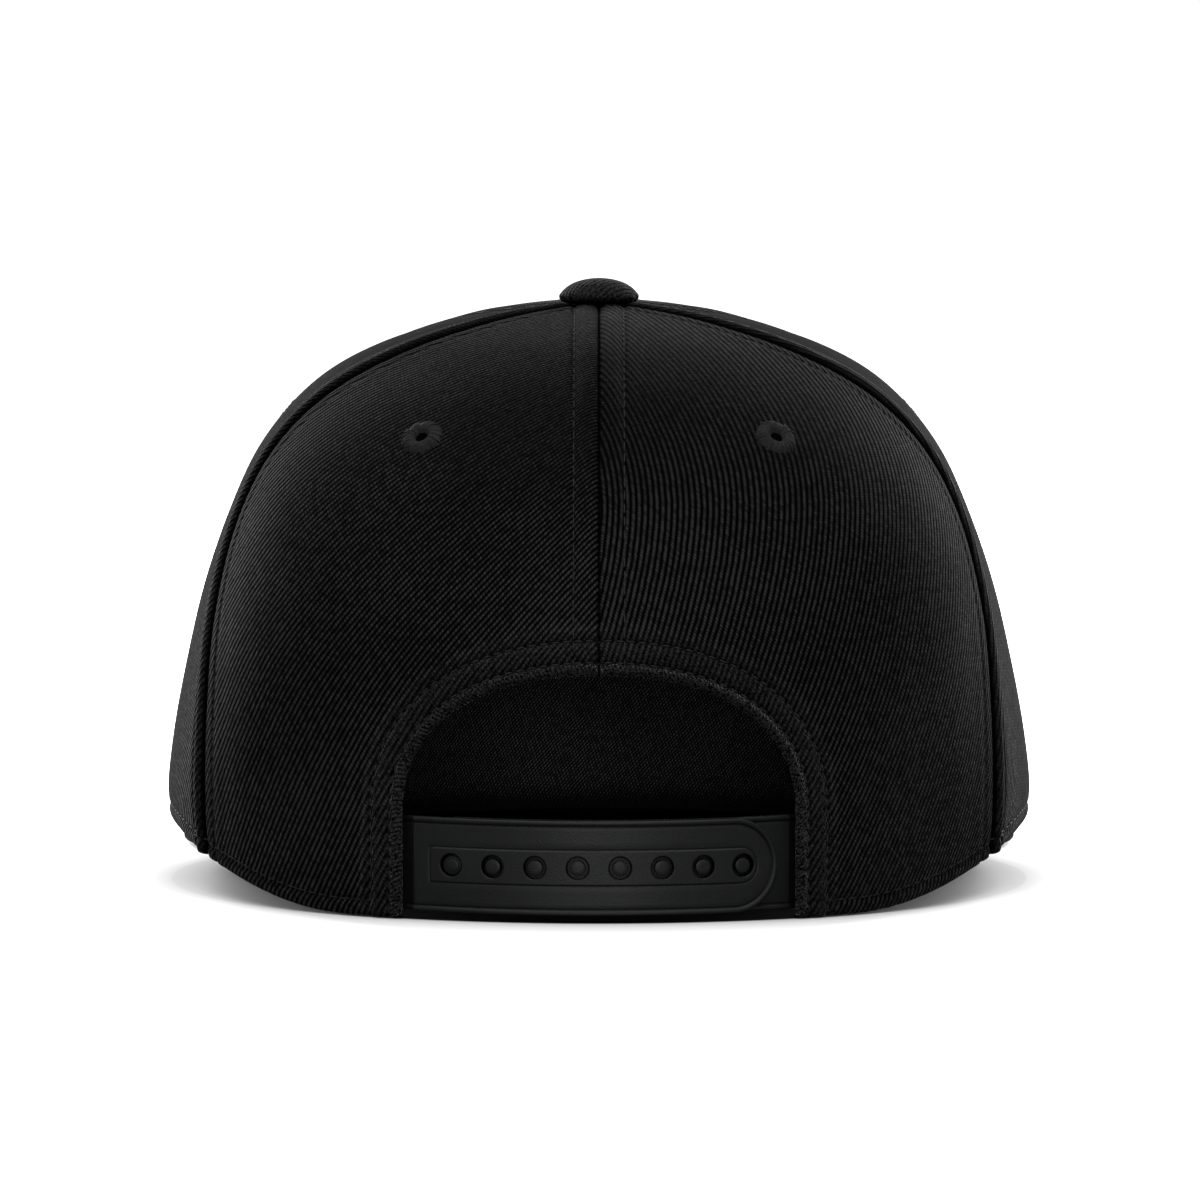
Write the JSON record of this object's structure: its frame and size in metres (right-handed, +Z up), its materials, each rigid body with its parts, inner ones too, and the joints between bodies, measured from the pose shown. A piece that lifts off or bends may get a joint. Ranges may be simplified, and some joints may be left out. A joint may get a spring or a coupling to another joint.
{
  "type": "snapback cap",
  "caption": "Six-panel cap with a structured crown, flat brim, arched back opening and a plastic snap strap, resting on its hem and brim.",
  "frame": {"origin": "on the resting surface, under the middle of the cap's box", "axes": "+Z up, the brim points along -Y, the opening and strap face +Y, the wearer's left is +X"},
  "size_m": [0.1816, 0.2602, 0.123],
  "materials": {
    "twill": "black cotton twill with a raised diagonal rib",
    "thread": "black embroidery thread",
    "sweatband": "fine black twill",
    "strap": "satin moulded plastic"
  },
  "bodies": {
    "root": {"back_panel_left": "twill", "back_panel_right": "twill", "side_panel_left": "twill", "side_panel_right": "twill", "front_panel_left": "twill", "front_panel_right": "twill", "back_eyelet_left": "thread", "back_eyelet_right": "thread", "side_eyelet_left": "thread", "side_eyelet_right": "thread", "front_eyelet_left": "thread", "front_eyelet_right": "thread", "top_button": "twill", "brim_top_cover": "twill", "brim_under_cover": "twill", "sweatband": "sweatband", "strap_outer": "strap", "strap_inner": "strap"}
  },
  "joints": []
}
